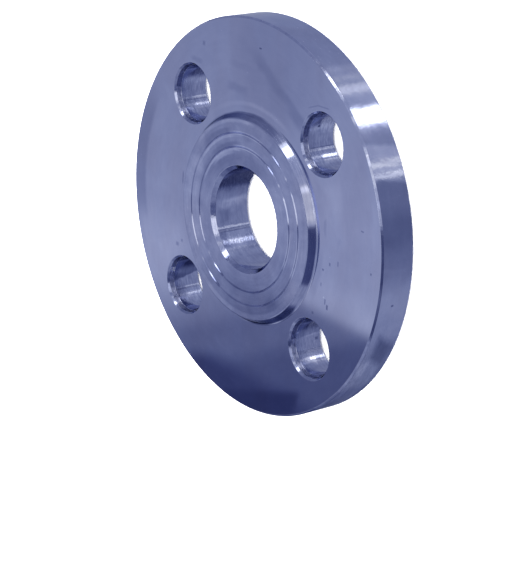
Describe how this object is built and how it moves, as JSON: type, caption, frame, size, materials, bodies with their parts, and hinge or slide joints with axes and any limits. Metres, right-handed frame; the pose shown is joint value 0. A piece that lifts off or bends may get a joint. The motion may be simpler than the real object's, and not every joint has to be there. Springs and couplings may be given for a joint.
{
  "type": "slip on flange",
  "caption": "Flat slip on pipe flange: turned steel plate with a raised grooved sealing face, a plain bore for the pipe and chamfered bolt holes on a bolt circle.",
  "frame": {"origin": "centre of the back face, on the bore axis", "axes": "+Z along the bore axis towards the raised sealing face; the bolt holes straddle the X and Y axes"},
  "size_m": [0.103, 0.103, 0.012],
  "materials": {
    "turned_steel": "fine turned"
  },
  "bodies": {
    "root": {"flange": "turned_steel"}
  },
  "joints": []
}
